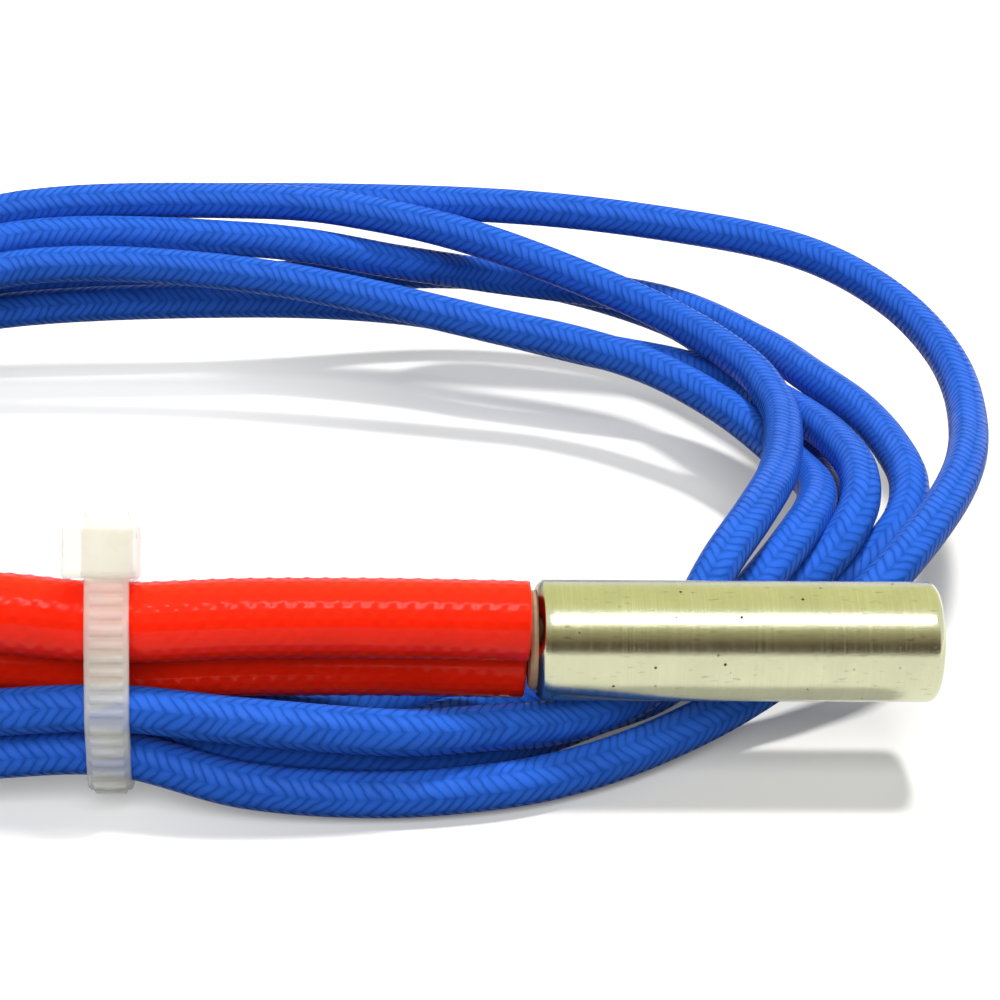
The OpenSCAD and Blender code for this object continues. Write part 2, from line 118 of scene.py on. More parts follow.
# Where each lead lies in that bend, as (out, height) at its front, its middle and its back
BEND_SLOTS = {
    "inner_to_outer": ((1.2, -3.75), (1.6, -3.6), (3.2, -0.6)),
    "outer_to_hidden": ((2.4, -5.8), (2.4, -5.8), (3.9, -5)),
    "hidden_to_tail": ((-3.6, -3.75), (-3.6, -3.75), (-3.6, -3.75)),
    "low_to_middle": ((0, -5.8), (0, -5.8), (1.4, -5.5)),
    "middle_to_wide": ((-2.4, -5.8), (-2.4, -5.8), (-0.6, -2.2)),
    "wide_to_tail": ((-4.8, -5.8), (-4.8, -5.8), (-4.8, -5.8)),
    "run_front": ((-1.2, -3.4), (-1.2, -3.4), (0.9, 0.2)),
    "run_rear": ((-4.8, -3.5), (-4.8, -3.5), (-2.4, -4.6)),
}

# Strands in the tie around the rear sleeve: angle, and distance from the sleeve
STRAND_FAN = [(-178, 2.5), (-144, 2.9), (-115, 1.8), (-80, 1.45), (-40, 1.35), (5, 1.2)]

# What the strap goes around, as radii: a sleeve and a strand with their clearance, and a plain sleeve
HELD_SLEEVE = 2.15
HELD_STRAND = 1.15
BARE_SLEEVE = 2.0

# The strap's turn around the bundle in degrees, in even steps, and how far above its end the head stands
STRAP_START = 65.0
STRAP_TURN = 270.0
STRAP_STEPS = 108
HEAD_FOOT = 2.15


# Settings


class HeaterBarrel(bpy.types.PropertyGroup):
    """Sizes and colours of the steel barrel."""

    diameter: bpy.props.FloatProperty(
        name="Diameter", description="Outer diameter of the barrel", default=0.006, unit="LENGTH")
    length: bpy.props.FloatProperty(
        name="Length", description="Length of the barrel over both ends", default=0.020, unit="LENGTH")
    wall: bpy.props.FloatProperty(
        name="Wall", description="Wall of the steel sheath", default=0.0005, unit="LENGTH")
    chamfer: bpy.props.FloatProperty(
        name="Chamfer", description="Chamfer on the rim at the lead end", default=0.0003, unit="LENGTH")
    edge: bpy.props.FloatProperty(
        name="Edge", description="Rounding of the edge at the tip", default=0.0005, unit="LENGTH")
    steel: bpy.props.FloatVectorProperty(
        name="Steel", description="Colour of the ground steel", default=(0.63, 0.64, 0.44),
        subtype="COLOR", size=3)
    # The seal colour is the cement darkened to reddish brown: painted shade and painted red reflection from
    # the sleeve's end beside it
    seal: bpy.props.FloatVectorProperty(
        name="Seal", description="Colour of the cement seal", default=(0.44, 0.29, 0.17),
        subtype="COLOR", size=3)


class HeaterLeads(bpy.types.PropertyGroup):
    """Sizes and colours of the two leads."""

    diameter: bpy.props.FloatProperty(
        name="Diameter", description="Outer diameter of a braided lead", default=0.0023, unit="LENGTH")
    length: bpy.props.FloatProperty(
        name="Length", description="Length of a lead from its crimp to its free end", default=1.0,
        unit="LENGTH")
    braid_pitch: bpy.props.FloatProperty(
        name="Braid pitch", description="Length of one crossing of the braid", default=0.00058, unit="LENGTH")
    blue: bpy.props.FloatVectorProperty(
        name="Blue", description="Colour of the braid where it stands out", default=(0.022, 0.112, 0.560),
        subtype="COLOR", size=3)
    # Deep blue is painted shade: the braid's colour in the grooves between the yarns, darker than on their
    # crowns
    groove_shade_blue: bpy.props.FloatVectorProperty(
        name="Deep blue", description="Colour between the yarns of the braid", default=(0.012, 0.068, 0.350),
        subtype="COLOR", size=3)
    conductor: bpy.props.FloatProperty(
        name="Conductor", description="Diameter of the tinned conductor", default=0.0009, unit="LENGTH")
    tinned: bpy.props.FloatProperty(
        name="Tinned end", description="Length of the tinned conductor at the free end", default=0.006,
        unit="LENGTH")


class HeaterSleeves(bpy.types.PropertyGroup):
    """Sizes and colour of the two sleeves."""

    diameter: bpy.props.FloatProperty(
        name="Diameter", description="Outer diameter of a sleeve", default=0.004, unit="LENGTH")
    wall: bpy.props.FloatProperty(
        name="Wall", description="Wall of a sleeve", default=0.0004, unit="LENGTH")
    ridge: bpy.props.FloatProperty(
        name="Ridge", description="Height of the braid under the coating", default=0.00004, unit="LENGTH")
    red: bpy.props.FloatVectorProperty(
        name="Red", description="Colour of the coating", default=(1.0, 0.020, 0.004),
        subtype="COLOR", size=3)


class HeaterTie(bpy.types.PropertyGroup):
    """Sizes and colour of the cable tie."""

    strap_width: bpy.props.FloatProperty(
        name="Strap width", description="Width of the strap", default=0.0021, unit="LENGTH")
    strap_thickness: bpy.props.FloatProperty(
        name="Strap thickness", description="Thickness of the strap without its ribs", default=0.00075,
        unit="LENGTH")
    rib_height: bpy.props.FloatProperty(
        name="Rib height", description="Height of the ribs across the strap", default=0.00018, unit="LENGTH")
    rib_pitch: bpy.props.FloatProperty(
        name="Rib pitch", description="Distance from rib to rib", default=0.00065, unit="LENGTH")
    head: bpy.props.FloatVectorProperty(
        name="Head", description="Width, depth and height of the head", default=(0.0035, 0.0034, 0.0026),
        subtype="XYZ_LENGTH", unit="LENGTH", size=3)
    stub: bpy.props.FloatProperty(
        name="Stub", description="Trimmed strap end above the head", default=0.0006, unit="LENGTH")
    nylon: bpy.props.FloatVectorProperty(
        name="Nylon", description="Colour of the natural nylon", default=(1.0, 0.985, 0.84),
        subtype="COLOR", size=3)


class HeaterStage(bpy.types.PropertyGroup):
    """Camera, lamps and floor."""

    elevation: bpy.props.FloatProperty(
        name="Elevation", description="Angle at which the camera looks down", default=math.radians(24),
        subtype="ANGLE")
    yaw: bpy.props.FloatProperty(
        name="Yaw", description="Angle at which the camera looks to the right", default=math.radians(3.5),
        subtype="ANGLE")
    roll: bpy.props.FloatProperty(
        name="Roll", description="Turn of the camera about its own axis", default=math.radians(-1.85),
        subtype="ANGLE")
    distance: bpy.props.FloatProperty(
        name="Distance", description="Distance of the barrel along the view", default=0.1382, unit="LENGTH")
    shown: bpy.props.FloatVectorProperty(
        name="Shown", description="Place of the barrel's middle right of and below the picture's middle",
        default=(0.01174, 0.00701), subtype="XYZ_LENGTH", unit="LENGTH", size=2)
    key: bpy.props.FloatProperty(
        name="Key", description="Power of the lamp above the front", default=0.45, unit="POWER")
    top: bpy.props.FloatProperty(
        name="Top", description="Power of the lamp above the back", default=2.1, unit="POWER")
    fill: bpy.props.FloatProperty(
        name="Fill", description="Power of the soft lamp above the camera", default=3.0, unit="POWER")
    ambient: bpy.props.FloatProperty(
        name="Ambient", description="Strength of the light from all around", default=0.13)


# Routes


def smooth_route(stations, steps=8):
    """Points on a smooth curve through the stations."""
    p = [Vector(s) for s in stations]
    points = []
    for i in range(len(p) - 1):
        a, b, c, d = p[max(i - 1, 0)], p[i], p[i + 1], p[min(i + 2, len(p) - 1)]
        for k in range(steps):
            t = k / steps
            points.append(0.5 * (2 * b + (c - a) * t + (2 * a - 5 * b + 4 * c - d) * t ** 2
                                 + (3 * b - a - 3 * c + d) * t ** 3))
    return points + [p[-1]]


def distances(points):
    """Distance of each point from the start of the route."""
    out = [0.0]
    for a, b in zip(points, points[1:]):
        out.append(out[-1] + (b - a).length)
    return out


def even_steps(points, count):
    """Distance along a route, index of the point before it and share of the way to the next, in even steps."""
    along = distances(points)
    i = 0
    for k in range(count + 1):
        s = along[-1] * k / count
        while i < len(points) - 2 and along[i + 1] < s:
            i += 1
        yield s, i, (s - along[i]) / max(along[i + 1] - along[i], 1e-12)


def even_route(points, spacing):
    """The same route with points at an even spacing."""
    count = max(2, round(distances(points)[-1] / spacing))
    return [points[i].lerp(points[i + 1], t) for _, i, t in even_steps(points, count)]


def pair_side(sign):
    """Offset of the front (1) or rear (-1) sleeve from the middle of the pair, in millimetres."""
    turn = math.radians(LEAD_TURN)
    return Vector((0, math.cos(turn), math.sin(turn))) * SLEEVE_SPREAD * sign


def sleeve_route(sign):
    """Stations of the front (1) or rear (-1) sleeve, in metres."""
    return [(Vector(p) + pair_side(sign)) * MM for p in PAIR_ROUTE]


def bend(slot, first=0, last=None):
    """Stations of one lead around the coil's unseen end, in millimetres."""
    front, middle, back = BEND_SLOTS[slot]
    flat = [Vector((x, y, 0)) for x, y in BEND_ROUTE]
    count = len(flat)
    stations = []
    for i in range(first, count if last is None else last):
        heading = flat[min(i + 1, count - 1)] - flat[max(i - 1, 0)]
        out = Vector((-heading.y, heading.x, 0)).normalized()
        share = 2 * i / (count - 1)
        a, b, t = (front, middle, share) if share < 1 else (middle, back, share - 1)
        stations.append(flat[i] + out * (a[0] + (b[0] - a[0]) * t) + Vector((0, 0, a[1] + (b[1] - a[1]) * t)))
    return stations


def lead_route(sign):
    """A whole lead from its crimp, through the sleeve and around the coil, to its free end."""
    stations = [Vector(PAIR_START) + pair_side(sign)] + [Vector(p) + pair_side(sign) for p in PAIR_ROUTE[2:]]
    if sign > 0:
        stations += RUN_FRONT + bend("run_front", 4) + INNER_PASS + bend("inner_to_outer") + OUTER_PASS
        stations += bend("outer_to_hidden") + HIDDEN_PASS + bend("hidden_to_tail", 0, 4) + TAIL_FRONT
    else:
        stations += RUN_REAR + bend("run_rear", 4) + LOW_PASS + bend("low_to_middle") + MIDDLE_PASS
        stations += bend("middle_to_wide") + WIDE_PASS + bend("wide_to_tail", 0, 3) + TAIL_REAR
    return smooth_route([Vector(s) * MM for s in stations])


# Meshes


def add_object(name, data):
    made = bpy.data.objects.new(name, data)
    bpy.context.scene.collection.objects.link(made)
    return made


def add_sheet(name, half_x, half_y, z=0.0):
    """Flat rectangle around the origin, at a height."""
    mesh = bpy.data.meshes.new(name)
    corners = [(-half_x, -half_y, z), (half_x, -half_y, z), (half_x, half_y, z), (-half_x, half_y, z)]
    mesh.from_pydata(corners, [], [(0, 1, 2, 3)])
    return add_object(name, mesh)


def new_piece(name, verts, faces, uvs=None):
    """Smooth shaded object that rides on the part. uvs has one pair for each corner of each face."""
    mesh = bpy.data.meshes.new(name)
    mesh.from_pydata(verts, [], faces)
    mesh.polygons.foreach_set("use_smooth", [True] * len(faces))
    if uvs is not None:
        layer = mesh.uv_layers.new(name="along_around")
        layer.data.foreach_set("uv", [x for pair in uvs for x in pair])
    mesh.update()
    piece = add_object(name, mesh)
    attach(piece, "root")
    return piece


def frames_along(points):
    """Side and up directions along a route, turned as little as possible from point to point."""
    count = len(points)
    heads = [(points[min(i + 1, count - 1)] - points[max(i - 1, 0)]).normalized() for i in range(count)]
    side = heads[0].cross(Vector((0, 0, 1))).normalized()
    frames = []
    for head in heads:
        side = (side - head * side.dot(head)).normalized()
        frames.append((side, side.cross(head)))
    return frames


def skin(name, verts, along, sides):
    """Piece over rings of vertices. Its map is the place along it, in millimetres, and the share around it."""
    faces, uvs = [], []
    for r, (s0, s1) in enumerate(zip(along, along[1:])):
        for k in range(sides):
            n = (k + 1) % sides
            faces.append((r * sides + k, r * sides + n, (r + 1) * sides + n, (r + 1) * sides + k))
            v0, v1 = k / sides, (k + 1) / sides
            uvs += [(s0, v0), (s0, v1), (s1, v1), (s1, v0)]
    return new_piece(name, verts, faces, uvs)


def sweep(name, points, rings, sides):
    """Tube along a route. Each ring is (index of the point, function from angle share to radius)."""
    frames = frames_along(points)
    along = distances(points)
    verts = []
    for i, radius in rings:
        side, up = frames[i]
        for k in range(sides):
            a = 2 * math.pi * k / sides
            verts.append(points[i] + (side * math.cos(a) + up * math.sin(a)) * radius(k / sides))
    return skin(name, verts, [along[i] / MM for i, _ in rings], sides)


def lathe(name, profile, segments):
    """Solid of revolution about X from (x, radius) points."""
    verts = []
    for x, r in profile:
        for k in range(segments):
            a = 2 * math.pi * k / segments
            verts.append((x, r * math.cos(a), r * math.sin(a)))
    return skin(name, verts, [x / MM for x, _ in profile], segments)


def flip_out(piece):
    """Turns the faces of a closed piece outwards."""
    mesh = bmesh.new()
    mesh.from_mesh(piece.data)
    bmesh.ops.recalc_face_normals(mesh, faces=mesh.faces)
    mesh.to_mesh(piece.data)
    mesh.free()


def braid_height(first, second):
    """Height from 0 to 1 of the crossings of two sets of yarns, under a coating."""
    return math.sin(math.pi * first) ** 2 * math.sin(math.pi * second) ** 2


# Materials


class Finish:
    """Material with a Principled shader, and short ways to add nodes to it."""

    def __init__(self, name):
        self.material = bpy.data.materials.new(name)
        self.material.use_nodes = True
        self.tree = self.material.node_tree
        self.shader = self.tree.nodes["Principled BSDF"]

    def set(self, **values):
        for key, value in values.items():
            self.shader.inputs[key.replace("_", " ")].default_value = value

    def feed(self, socket, output):
        self.tree.links.new(output, self.shader.inputs[socket])

    def add(self, kind, settings=None, **inputs):
        node = self.tree.nodes.new(kind)
        for key, value in (settings or {}).items():
            setattr(node, key, value)
        for key, value in inputs.items():
            self.plug(node.inputs[key.replace("_", " ")], value)
        return node

    def plug(self, socket, value):
        if isinstance(value, bpy.types.NodeSocket):
            self.tree.links.new(value, socket)
        else:
            socket.default_value = value

    def math(self, operation, *values):
        node = self.tree.nodes.new("ShaderNodeMath")
        node.operation = operation
        for socket, value in zip(node.inputs, values):
            self.plug(socket, value)
        return node.outputs[0]

    def object_place(self):
        return self.add("ShaderNodeTexCoord").outputs["Object"]

    def uv(self):
        place = self.add("ShaderNodeUVMap", {"uv_map": "along_around"}).outputs["UV"]
        split = self.add("ShaderNodeSeparateXYZ", Vector=place)
        return split.outputs["X"], split.outputs["Y"]

    def noise(self, place, scale, detail=3.0, roughness=0.5):
        return self.add("ShaderNodeTexNoise", Vector=place, Scale=scale, Detail=detail,
                        Roughness=roughness).outputs["Fac"]

    def stretched(self, place, scale):
        return self.add("ShaderNodeMapping", Vector=place, Scale=scale).outputs["Vector"]

    def ramp(self, value, *stops):
        node = self.add("ShaderNodeValToRGB", Fac=value)
        points = node.color_ramp.elements
        while len(points) < len(stops):
            points.new(0.5)
        for point, (place, colour) in zip(points, stops):
            point.position = place
            point.color = (*colour, 1)
        return node.outputs["Color"]

    def blend(self, share, first, second):
        node = self.add("ShaderNodeMix", {"data_type": "RGBA"})
        self.plug(node.inputs[0], share)
        for socket, value in ((node.inputs[6], first), (node.inputs[7], second)):
            self.plug(socket, value if isinstance(value, bpy.types.NodeSocket) else (*value, 1))
        return node.outputs[2]

    def span(self, value, low, high, to_low=0.0, to_high=1.0):
        node = self.add("ShaderNodeMapRange")
        for socket, number in zip(node.inputs, (value, low, high, to_low, to_high)):
            self.plug(socket, number)
        return node.outputs[0]

    def bump(self, height, distance, strength=1.0):
        node = self.add("ShaderNodeBump", Strength=strength, Distance=distance, Height=height)
        self.feed("Normal", node.outputs["Normal"])

    def put_on(self, piece):
        piece.data.materials.clear()
        piece.data.materials.append(self.material)


def braid_nodes(finish, pitch, columns):
    """Height of a braid whose yarns lean left and right in turn, the place across a yarn, and its tone."""
    along, around = finish.uv()
    sway = finish.noise(finish.object_place(), 420, 2)
    rise = finish.math("MULTIPLY_ADD", sway, 1.7, finish.math("DIVIDE", along, pitch / MM))
    turn = finish.math("MULTIPLY", around, float(columns))
    lean = finish.math("SUBTRACT", finish.math("PINGPONG", turn, 1.0), 0.5)
    slant = finish.math("MULTIPLY_ADD", lean, 1.25, rise)
    across = finish.math("FRACT", slant)
    arch = finish.math("POWER", finish.math("SINE", finish.math("MULTIPLY", across, math.pi)), 0.7)
    reach = finish.math("SINE", finish.math("MULTIPLY", finish.math("FRACT", turn), math.pi))
    height = finish.math("MULTIPLY", arch, finish.math("MULTIPLY_ADD", reach, 0.5, 0.5))
    yarn = finish.add("ShaderNodeCombineXYZ", X=finish.math("FLOOR", slant), Y=finish.math("FLOOR", turn))
    tone = finish.add("ShaderNodeTexWhiteNoise", Vector=yarn.outputs["Vector"]).outputs["Value"]
    return height, across, tone


def steel_finish(colour):
    finish = Finish("ground_steel")
    place = finish.object_place()
    rings = finish.noise(finish.stretched(place, (14000, 160, 160)), 1.0, 3, 0.6)
    grain = finish.noise(finish.stretched(place, (9000, 16000, 16000)), 1.0, 2, 0.6)
    patches = finish.noise(place, 420, 4, 0.6)
    pits = finish.add("ShaderNodeTexVoronoi", Vector=place, Scale=1300.0).outputs["Distance"]
    spots = finish.noise(place, 650, 1)
    deep = finish.math("MULTIPLY", finish.span(pits, 0.06, 0.13, 1, 0), finish.span(spots, 0.50, 0.57))
    scuffs = finish.noise(finish.stretched(place, (1600, 6000, 6000)), 1.0, 2, 0.4)
    scuffed = finish.math("MULTIPLY", finish.span(scuffs, 0.64, 0.74), 0.45)
    along = finish.add("ShaderNodeSeparateXYZ", Vector=place).outputs["X"]
    # Darker brown over the chamfer and rim at the lead end: painted shade of the gap between the rim and the
    # seal
    rim_painted_shade = finish.span(along, -0.00012, 0.00002, 0.75, 0)
    base = finish.ramp(patches, (0.30, [c * 0.93 for c in colour]), (0.70, [min(1, c * 1.05) for c in colour]))
    base = finish.blend(finish.span(rings, 0.35, 0.65, 0.22, 0), base, [c * 0.70 for c in colour])
    base = finish.blend(scuffed, base, [c * 0.45 for c in colour])
    base = finish.blend(deep, base, (0.05, 0.035, 0.02))
    finish.feed("Base Color", finish.blend(rim_painted_shade, base, (0.26, 0.16, 0.09)))
    finish.set(Metallic=1.0)
    finish.feed("Roughness", finish.math("MULTIPLY_ADD", deep, 0.4, finish.span(rings, 0.3, 0.7, 0.18, 0.27)))
    relief = finish.math("MULTIPLY_ADD", grain, 0.75, finish.math("MULTIPLY", rings, 0.20))
    finish.bump(finish.math("SUBTRACT", relief, deep), 0.000008, 0.7)
    return finish


def lead_finish(leads):
    finish = Finish("blue_braid")
    height, across, tone = braid_nodes(finish, leads.braid_pitch, 8)
    place = finish.object_place()
    threads = finish.math("SINE", finish.math("MULTIPLY", across, 2 * math.pi * 4))
    wear = finish.noise(place, 900, 3)
    fuzz = finish.noise(place, 4200, 3, 0.6)
    relief = finish.math("MULTIPLY_ADD", threads, 0.06, height)
    relief = finish.math("MULTIPLY_ADD", fuzz, 0.55, relief)
    # Base colour from the relief: painted shade, deep blue in the grooves and full blue on the crowns, with
    # random wear and yarn tone
    shade = finish.math("MULTIPLY_ADD", wear, 0.5, finish.math("SUBTRACT", relief, 0.72))
    shade = finish.math("MULTIPLY_ADD", tone, 0.34, shade)
    middle = [(a + b) / 2 for a, b in zip(leads.blue, leads.groove_shade_blue)]
    finish.feed("Base Color", finish.ramp(shade, (0.05, leads.groove_shade_blue), (0.40, middle), (0.85, leads.blue)))
    finish.feed("Roughness", finish.span(fuzz, 0.35, 0.65, 0.5, 0.26))
    finish.feed("Specular IOR Level", finish.span(height, 0.3, 1, 0, 0.1))
    finish.bump(relief, 0.00002, 0.9)
    return finish


def sleeve_finish(red):
    finish = Finish("red_silicone")
    place = finish.object_place()
    tone = finish.noise(place, 260, 3)
    specks = finish.noise(place, 5200, 2)
    base = finish.ramp(tone, (0.25, [c * 0.82 for c in red]), (0.75, [min(1, c * 1.06) for c in red]))
    finish.feed("Base Color", base)
    finish.feed("Roughness", finish.span(specks, 0.3, 0.7, 0.07, 0.13))
    finish.set(Subsurface_Weight=0.55, Subsurface_Scale=0.0008, Subsurface_Radius=(1.0, 0.25, 0.12))
    finish.set(Specular_IOR_Level=0.13)
    finish.bump(specks, 0.000004, 0.4)
    return finish


def nylon_finish(colour):
    """Cloudy nylon that lets some of what lies behind it show through."""
    finish = Finish("natural_nylon")
    place = finish.object_place()
    cloud = finish.noise(place, 500, 3)
    base = finish.ramp(cloud, (0.3, [c * 0.95 for c in colour]), (0.7, colour))
    finish.feed("Base Color", base)
    finish.feed("Roughness", finish.span(cloud, 0.3, 0.7, 0.26, 0.32))
    finish.set(Subsurface_Weight=1.0, Subsurface_Scale=0.0005, Subsurface_Radius=(1.0, 0.95, 0.9))
    finish.set(IOR=1.35, Alpha=0.43)
    return finish


def grained_finish(name, dark, light, rough, relief, scale, metal=0.0):
    """Finish with cloudy colour and a fine rough surface, for pieces inside and at the ends."""
    finish = Finish(name)
    place = finish.object_place()
    cloud = finish.noise(place, scale, 4, 0.6)
    grain = finish.noise(place, scale * 6, 3)
    finish.feed("Base Color", finish.ramp(cloud, (0.3, dark), (0.7, light)))
    finish.feed("Roughness", finish.span(grain, 0.3, 0.7, rough - 0.08, rough + 0.08))
    finish.set(Metallic=metal)
    finish.bump(grain, relief, 0.7)
    return finish


# Operators


def direction(elevation, azimuth):
    """Way from the part at an angle above the surface, and around from the front, in degrees."""
    e, a = math.radians(elevation), math.radians(azimuth)
    return Vector((math.sin(a) * math.cos(e), -math.cos(a) * math.cos(e), math.sin(e)))


class HEATER_OT_stage(bpy.types.Operator):
    """Add the camera, the lamps, the floor and the surroundings"""

    bl_idname = "heater.stage"
    bl_label = "Stage"

    def execute(self, context):
        stage = context.scene.heater_stage
        scene = context.scene
        scene.view_settings.view_transform = "Standard"
        self.camera(scene, stage)
        self.lamps(stage)
        self.floor()
        self.surroundings(scene, stage)
        return {"FINISHED"}

    def camera(self, scene, stage):
        e, y, r = stage.elevation, stage.yaw, stage.roll
        ahead = Vector((math.sin(y) * math.cos(e), math.cos(y) * math.cos(e), -math.sin(e)))
        right = Vector((math.cos(y), -math.sin(y), 0))
        up = right.cross(ahead)
        right, up = right * math.cos(r) - up * math.sin(r), up * math.cos(r) + right * math.sin(r)
        middle = Vector((BARREL_MIDDLE_X * MM, 0, 0))
        eye = middle - ahead * stage.distance - right * stage.shown[0] + up * stage.shown[1]
        data = bpy.data.cameras.new("camera")
        data.lens = 100
        data.sensor_width = 36
        data.clip_start = 0.005
        data.clip_end = 20
        camera = add_object("camera", data)
        turn = Matrix((right, up, -ahead)).transposed().to_4x4()
        camera.matrix_world = Matrix.Translation(eye) @ turn
        scene.camera = camera

    def lamp(self, name, elevation, azimuth, distance, size, power, colour):
        """Area lamp that shines at the part."""
        away = direction(elevation, azimuth)
        aim = Vector((0.005, 0.01, 0))
        data = bpy.data.lights.new(name, "AREA")
        data.shape = "RECTANGLE"
        data.size, data.size_y = size
        data.energy = power
        data.color = colour
        lamp = add_object(name, data)
        lamp.location = aim + away * distance
        lamp.rotation_euler = away.to_track_quat("Z", "Y").to_euler()
        return lamp

    def lamps(self, stage):
        self.lamp("key_lamp", 66, 14, 0.50, (0.19, 0.09), stage.key, (1.0, 0.99, 0.97))
        top = self.lamp("top_lamp", 72, 132, 0.45, (0.06, 0.06), stage.top, (1.0, 0.98, 0.95))
        fill = self.lamp("fill_lamp", 40, -10, 0.60, (0.45, 0.45), stage.fill, (1.0, 1.0, 1.0))
        top.visible_glossy = fill.visible_glossy = False

    def floor(self):
        """White surface that glows away from the part where it is seen and not where it gives light; its extra
        glow behind the part and to its left is painted light that lightens the cast shadows there.
        """
        half = 3.0
        floor = add_sheet("floor", half, half, FLOOR_Z * MM)
        finish = Finish("white_table")
        finish.set(Roughness=0.7, Specular_IOR_Level=0.1, Emission_Color=(1, 1, 1, 1))
        path = finish.add("ShaderNodeLightPath").outputs
        seen = finish.math("MAXIMUM", path["Is Camera Ray"], path["Is Glossy Ray"])
        seen = finish.math("MAXIMUM", seen, path["Is Transmission Ray"])
        finish.feed("Base Color", finish.blend(seen, (0.18, 0.18, 0.175), (0.62, 0.62, 0.61)))
        place = finish.object_place()
        away = finish.add("ShaderNodeVectorMath", {"operation": "LENGTH"}, Vector=place).outputs["Value"]
        split = finish.add("ShaderNodeSeparateXYZ", Vector=place).outputs
        # back and left are painted light: glow that lightens the cast shadows behind the part and, from a
        # small glow near it, more to its left; far makes the floor evenly white far away
        far, back = finish.span(away, 0.07, 0.25, 0, 1), finish.span(split["Y"], 0.012, 0.05, 0, 0.25)
        left = finish.span(split["X"], -0.006, -0.020, 0.10, 0.30)
        glow = finish.math("ADD", finish.math("ADD", far, back), left)
        finish.feed("Emission Strength", finish.math("MULTIPLY", seen, glow))
        finish.put_on(floor)

    def surroundings(self, scene, stage):
        self.card("front_card", 27, 0.60, (1.6, 0.60), (
            (0.13, (0.102, 0.074, 0.051)), (0.34, (0.098, 0.072, 0.049)), (0.46, (0.15, 0.12, 0.08)),
            (0.55, (0.31, 0.26, 0.185)), (0.75, (0.40, 0.36, 0.22)), (0.83, (0.53, 0.50, 0.29))))
        pale = (0.93, 0.92, 0.54)
        self.card("top_card", 122, 0.70, (1.6, 1.0), ((0, pale), (1, pale)))
        world = bpy.data.worlds.new("white_room")
        world.use_nodes = True
        tree = world.node_tree
        link = tree.links.new
        shown = tree.nodes["Background"]
        shown.inputs["Color"].default_value = (1, 1, 1, 1)
        shown.inputs["Strength"].default_value = 1.0
        around = tree.nodes.new("ShaderNodeBackground")
        around.inputs["Strength"].default_value = stage.ambient
        path = tree.nodes.new("ShaderNodeLightPath").outputs
        seen = path["Is Camera Ray"]
        for ray in ("Is Glossy Ray", "Is Transmission Ray"):
            either = tree.nodes.new("ShaderNodeMath")
            either.operation = "MAXIMUM"
            link(seen, either.inputs[0])
            link(path[ray], either.inputs[1])
            seen = either.outputs[0]
        mix = tree.nodes.new("ShaderNodeMixShader")
        for socket, output in zip(mix.inputs, (seen, around.outputs[0], shown.outputs[0])):
            link(output, socket)
        link(mix.outputs[0], tree.nodes["World Output"].inputs["Surface"])
        scene.world = world

    def card(self, name, elevation, distance, size, stops):
        """Card that only shows in the part's reflections, with colours from its lower to its upper edge."""
        away = direction(elevation, 0)
        half_height = size[1] / 2
        card = add_sheet(name, size[0] / 2, half_height)
        card.location = away * distance
        card.rotation_euler = away.to_track_quat("Z", "Y").to_euler()
        finish = Finish(name)
        finish.set(Roughness=1.0, Base_Color=(0, 0, 0, 1), Specular_IOR_Level=0, Emission_Strength=1.0)
        height = finish.add("ShaderNodeSeparateXYZ", Vector=finish.object_place()).outputs["Y"]
        finish.feed("Emission Color", finish.ramp(finish.span(height, -half_height, half_height), *stops))
        finish.put_on(card)
        card.visible_camera = False
        card.visible_diffuse = False
        card.visible_shadow = False
        card.visible_transmission = False


class HEATER_OT_leads(bpy.types.Operator):
    """Add the two braided leads with their tinned ends"""

    bl_idname = "heater.leads"
    bl_label = "Leads"

    def execute(self, context):
        leads = context.scene.heater_leads
        finish = lead_finish(leads)
        tin = grained_finish("tinned_copper", (0.42, 0.42, 0.42), (0.66, 0.66, 0.65), 0.30, 0.00001, 1500, 1.0)
        radius, spacing = leads.diameter / 2, 0.0005
        for side, sign in (("front", 1), ("rear", -1)):
            route = even_route(lead_route(sign), spacing)
            last = len(route) - 1
            rings = [(0, lambda a: 0.0), (0, lambda a: radius)]
            rings += [(i, lambda a: radius) for i in range(1, last)]
            rings += [(last, lambda a: radius * 0.96), (last, lambda a: leads.conductor / 2)]
            lead = sweep("lead_" + side, route, rings, 24)
            finish.put_on(lead)
            nodes = ["lead_run_" + side, "lead_tail_" + side] + (["lead_coil"] if sign > 0 else [])
            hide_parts(*nodes)
            end = self.tinned(side, route, leads)
            tin.put_on(end)
            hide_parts("tinned_end_" + side)
        return {"FINISHED"}

    def tinned(self, side, route, leads):
        """Twisted strands under solder, with a rounded tip."""
        ahead = (route[-1] - route[-4]).normalized()
        ahead.z = 0
        count, covered = 60, 0.0004
        start = route[-1] - ahead * covered
        points = [start + ahead * (leads.tinned + covered) * k / count for k in range(count + 1)]
        radius = leads.conductor / 2
        strands, twist, groove, rounded = 7, 1.6, 0.14, 0.05

        def strand(k):
            share = k / count
            taper = math.sqrt(max(0.0, 1 - max(0.0, (share - (1 - rounded)) / rounded) ** 2))
            return lambda a: radius * taper * (
                1 - groove + groove * abs(math.cos(math.pi * (strands * a + twist * share))))

        return sweep("tinned_tip_" + side, points, [(k, strand(k)) for k in range(count + 1)], 56)


